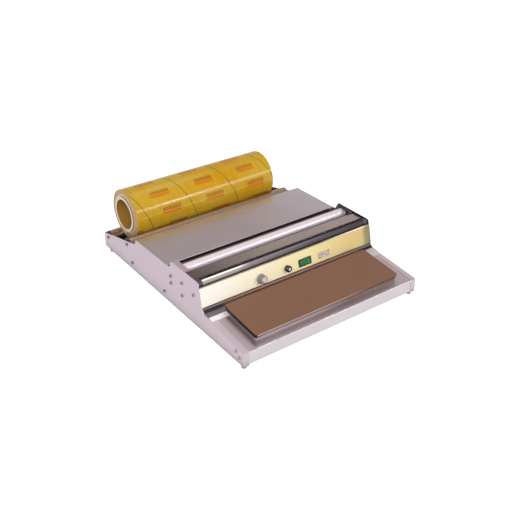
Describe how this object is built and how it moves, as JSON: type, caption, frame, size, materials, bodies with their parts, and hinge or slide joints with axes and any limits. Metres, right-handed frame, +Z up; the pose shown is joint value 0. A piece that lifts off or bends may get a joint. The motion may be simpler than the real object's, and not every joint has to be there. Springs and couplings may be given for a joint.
{
  "type": "cling film wrapping machine",
  "caption": "Table-top film wrapper: film roll on carrier rollers, deck, guide roller, hot cutter rod, control panel and heated sealing plate on a front tray.",
  "frame": {"origin": "bottom centre of the machine, on the surface it stands on, with its film roll loaded", "axes": "+Z up; +Y from the sealing plate at the front to the film roll at the rear; +X to the right of someone facing the controls"},
  "size_m": [0.4894, 0.607, 0.1722],
  "materials": {
    "panel_steel": "satin stainless side panels",
    "casing_steel": "satin stainless folded sheet",
    "rest_steel": "dull grey stainless",
    "inner_steel": "plain galvanised sheet",
    "roller_chrome": "polished tube",
    "plug_plastic": "black moulded nylon",
    "axle_steel": "turned bar",
    "film_card": "spiral wound card tube",
    "film_wrap": "wound clear yellow film",
    "rod_steel": "resistance rod",
    "rod_sleeve": "slippery fluoropolymer sleeve",
    "block_plastic": "black insulating plastic",
    "plate_alloy": "milled plate",
    "plate_cloth": "brown coated glass cloth",
    "pan_steel": "black enamel",
    "heater_rubber": "silicone heating mat",
    "mineral_mat": "mineral fibre felt",
    "spacer_steel": "turned spacers",
    "label_plate": "cream front plate",
    "knob_plastic": "grey moulded knob",
    "shaft_brass": "turned",
    "thermostat_case": "pressed case",
    "fuse_plastic": "black moulded",
    "fuse_glass": "clear tube",
    "switch_black": "black moulded",
    "switch_green": "green lens",
    "core_iron": "varnished laminations",
    "coil_copper": "varnished copper winding",
    "terminal_plastic": "white nylon",
    "black_rubber": "black rubber",
    "screw_steel": "zinc plated"
  },
  "bodies": {
    "frame": {"side_panel_left": "panel_steel", "side_panel_right": "panel_steel", "base_tray": "casing_steel", "console_cover": "casing_steel", "deck_plate": "casing_steel", "film_rest": "rest_steel", "base_plate": "inner_steel", "rear_rail": "inner_steel", "cross_bar_front": "inner_steel", "cross_bar_rear": "inner_steel", "roller_bracket_left": "inner_steel", "roller_bracket_right": "inner_steel", "guide_roller_axle": "axle_steel", "carrier_front_axle": "axle_steel", "carrier_rear_axle": "axle_steel", "cutter_rod": "rod_steel", "cutter_sleeve": "rod_sleeve", "cutter_blocks": "block_plastic", "sealing_plate": "plate_alloy", "plate_cover": "plate_cloth", "heater_pan": "pan_steel", "heater_mat": "heater_rubber", "insulation_mat": "mineral_mat", "plate_standoffs": "spacer_steel", "control_panel": "label_plate", "thermostat_body": "thermostat_case", "fuse_holder": "fuse_plastic", "fuse_nut": "fuse_plastic", "fuse_link": "fuse_glass", "switch_housing": "switch_black", "transformer_core": "core_iron", "transformer_coil": "coil_copper", "terminal_block": "terminal_plastic", "cable_grommet": "black_rubber", "rubber_feet": "black_rubber", "side_screws_left": "screw_steel", "side_screws_right": "screw_steel", "foot_screws": "screw_steel", "base_screws": "screw_steel", "plate_screws": "screw_steel"},
    "film_roll": {"film_core": "film_card", "film_roll": "film_wrap"},
    "carrier_front": {"carrier_front_tube": "roller_chrome", "carrier_front_plugs": "plug_plastic"},
    "carrier_rear": {"carrier_rear_tube": "roller_chrome", "carrier_rear_plugs": "plug_plastic"},
    "guide_roller": {"guide_roller_tube": "roller_chrome", "guide_roller_plugs": "plug_plastic"},
    "temperature_knob": {"temperature_knob": "knob_plastic", "thermostat_shaft": "shaft_brass"},
    "switch_rocker": {"switch_rocker": "switch_green"},
    "fuse_cap": {"fuse_cap": "fuse_plastic"}
  },
  "joints": [
    {"name": "film_roll_spin", "type": "hinge", "parent": "frame", "child": "film_roll", "pos_m": [-0.0035, 0.24147, 0.11026], "axis": [1, 0, 0], "continuous": true},
    {"name": "carrier_front_spin", "type": "hinge", "parent": "frame", "child": "carrier_front", "pos_m": [0, 0.17653, 0.0665], "axis": [1, 0, 0], "continuous": true},
    {"name": "carrier_rear_spin", "type": "hinge", "parent": "frame", "child": "carrier_rear", "pos_m": [0, 0.27603, 0.04], "axis": [1, 0, 0], "continuous": true},
    {"name": "guide_roller_spin", "type": "hinge", "parent": "frame", "child": "guide_roller", "pos_m": [0, -0.05697, 0.1102], "axis": [1, 0, 0], "continuous": true},
    {"name": "temperature_turn", "type": "hinge", "parent": "frame", "child": "temperature_knob", "pos_m": [-0.0865, -0.14886, 0.0823], "axis": [0, -0.969, 0.247], "range_deg": [-270, 0]},
    {"name": "switch_tilt", "type": "hinge", "parent": "frame", "child": "switch_rocker", "pos_m": [0.0385, -0.14964, 0.0825], "axis": [0, 0.247, 0.969], "range_deg": [0, 16]},
    {"name": "fuse_cap_twist", "type": "hinge", "parent": "frame", "child": "fuse_cap", "pos_m": [-0.013, -0.14886, 0.0823], "axis": [0, -0.969, 0.247], "range_deg": [0, 90]}
  ],
  "couplings": [
    {"joint": "carrier_front_spin", "follows": "film_roll_spin", "ratio": -3.875},
    {"joint": "carrier_rear_spin", "follows": "film_roll_spin", "ratio": -3.875}
  ]
}
